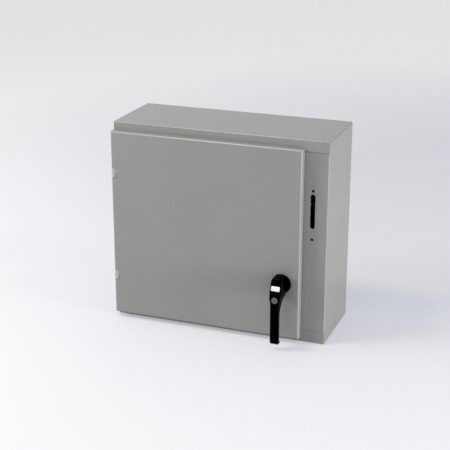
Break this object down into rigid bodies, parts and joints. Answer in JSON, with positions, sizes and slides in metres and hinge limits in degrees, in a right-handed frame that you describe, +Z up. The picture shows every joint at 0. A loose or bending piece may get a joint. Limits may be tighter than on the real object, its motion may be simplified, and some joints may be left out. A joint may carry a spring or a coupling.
{
  "type": "fused disconnect switch",
  "caption": "Wall-mounted sheet-steel disconnect enclosure with a slotted operator flange, a hinged door with a padlocking latch handle, and a three-pole fusible knife switch inside.",
  "frame": {"origin": "centre of the back face, where the enclosure meets the wall", "axes": "+Z up, +Y into the wall, so the door faces -Y, and +X to the right as seen from the front"},
  "size_m": [0.656, 0.3359, 0.61],
  "materials": {
    "painted_steel": "fine textured powder coat, light grey",
    "white_enamel": "smooth white enamel",
    "black_enamel": "satin black powder coat",
    "zinc_plated": "bright zinc plate",
    "stainless": "satin stainless",
    "foam": "closed-cell foam",
    "pocket_plastic": "matt dark grey moulding",
    "phenolic": "dark brown moulded phenolic",
    "copper": "bare copper, lightly tarnished",
    "tinned_copper": "tin-plated copper",
    "fuse_tube": "pale melamine tube with metal end caps",
    "clear_plastic": "clear polycarbonate",
    "nylon": "natural nylon"
  },
  "bodies": {
    "enclosure": {"back_panel": "painted_steel", "left_side_panel": "painted_steel", "right_side_panel": "painted_steel", "top_panel": "painted_steel", "bottom_panel": "painted_steel", "opening_collar": "painted_steel", "mounting_panel": "white_enamel", "panel_nut_upper_left": "zinc_plated", "panel_nut_upper_right": "zinc_plated", "panel_nut_lower_left": "zinc_plated", "panel_nut_lower_right": "zinc_plated", "upper_hinge_body_leaf": "stainless", "lower_hinge_body_leaf": "stainless", "upper_hinge_pin": "stainless", "lower_hinge_pin": "stainless", "switch_base": "phenolic", "line_shield": "clear_plastic", "mechanism_frame": "zinc_plated", "lever_pivot_pin": "zinc_plated", "line_terminal_1": "tinned_copper", "line_terminal_2": "tinned_copper", "line_terminal_3": "tinned_copper", "load_jaw_1": "tinned_copper", "load_jaw_2": "tinned_copper", "load_jaw_3": "tinned_copper", "load_terminal_1": "tinned_copper", "load_terminal_2": "tinned_copper", "load_terminal_3": "tinned_copper"},
    "door": {"door_panel": "painted_steel", "door_gasket": "foam", "print_pocket": "pocket_plastic", "upper_hinge_door_leaf": "stainless", "lower_hinge_door_leaf": "stainless", "handle_seal": "foam", "handle_base": "black_enamel", "latch_bushing": "zinc_plated", "upper_rod_guide": "nylon", "lower_rod_guide": "nylon"},
    "latch_handle": {"handle_lever": "black_enamel", "handle_spindle": "zinc_plated", "latch_cam": "zinc_plated", "cam_nut": "zinc_plated", "lock_housing": "stainless"},
    "lock_plug": {"lock_plug": "stainless"},
    "upper_rod": {"upper_latch_rod": "zinc_plated"},
    "upper_roller": {"upper_rod_roller": "nylon"},
    "lower_rod": {"lower_latch_rod": "zinc_plated"},
    "lower_roller": {"lower_rod_roller": "nylon"},
    "blade_rotor": {"blade_crossbar": "phenolic", "blade_shaft": "zinc_plated", "shaft_crank": "zinc_plated", "blade_1": "copper", "blade_2": "copper", "blade_3": "copper"},
    "operating_lever": {"operating_lever": "black_enamel"},
    "drive_link": {"drive_link": "zinc_plated"},
    "fuse_1": {"fuse_1": "fuse_tube"},
    "fuse_2": {"fuse_2": "fuse_tube"},
    "fuse_3": {"fuse_3": "fuse_tube"}
  },
  "joints": [
    {"name": "door_hinge", "type": "hinge", "parent": "enclosure", "child": "door", "pos_m": [-0.321, -0.262, 0], "axis": [0, 0, -1], "range_deg": [0, 170]},
    {"name": "handle_turn", "type": "hinge", "parent": "door", "child": "latch_handle", "pos_m": [0.2049, -0.2695, -0.1194], "axis": [0, 1, 0], "range_deg": [0, 90]},
    {"name": "lock_turn", "type": "hinge", "parent": "latch_handle", "child": "lock_plug", "pos_m": [0.2049, -0.335, -0.1484], "axis": [0, 1, 0], "range_deg": [0, 90]},
    {"name": "upper_rod_slide", "type": "slide", "parent": "door", "child": "upper_rod", "axis": [0, 0, 1], "range_m": [-0.0283, 0]},
    {"name": "lower_rod_slide", "type": "slide", "parent": "door", "child": "lower_rod", "axis": [0, 0, 1], "range_m": [0, 0.0283]},
    {"name": "upper_roller_spin", "type": "hinge", "parent": "upper_rod", "child": "upper_roller", "pos_m": [0.22197, -0.2315, 0.26], "axis": [1, 0, 0], "continuous": true},
    {"name": "lower_roller_spin", "type": "hinge", "parent": "lower_rod", "child": "lower_roller", "pos_m": [0.18783, -0.2315, -0.26], "axis": [1, 0, 0], "continuous": true},
    {"name": "blade_turn", "type": "hinge", "parent": "enclosure", "child": "blade_rotor", "pos_m": [0.17, -0.085, 0.0984], "axis": [-1, 0, 0], "range_deg": [0, 70]},
    {"name": "operating_lever_turn", "type": "hinge", "parent": "enclosure", "child": "operating_lever", "pos_m": [0.17, -0.175, 0.0984], "axis": [-1, 0, 0], "range_deg": [0, 70]},
    {"name": "link_pivot", "type": "hinge", "parent": "operating_lever", "child": "drive_link", "pos_m": [0.17, -0.15779, 0.07383], "axis": [1, 0, 0], "range_deg": [0, 70]},
    {"name": "fuse_1_pull", "type": "slide", "parent": "enclosure", "child": "fuse_1", "axis": [0, -1, 0], "range_m": [0, 0.1]},
    {"name": "fuse_2_pull", "type": "slide", "parent": "enclosure", "child": "fuse_2", "axis": [0, -1, 0], "range_m": [0, 0.1]},
    {"name": "fuse_3_pull", "type": "slide", "parent": "enclosure", "child": "fuse_3", "axis": [0, -1, 0], "range_m": [0, 0.1]}
  ],
  "couplings": [
    {"joint": "upper_rod_slide", "follows": "handle_turn", "m_per_rad": -0.018006},
    {"joint": "lower_rod_slide", "follows": "handle_turn", "m_per_rad": 0.018006},
    {"joint": "operating_lever_turn", "follows": "blade_turn", "ratio": 1},
    {"joint": "link_pivot", "follows": "blade_turn", "ratio": 1}
  ]
}
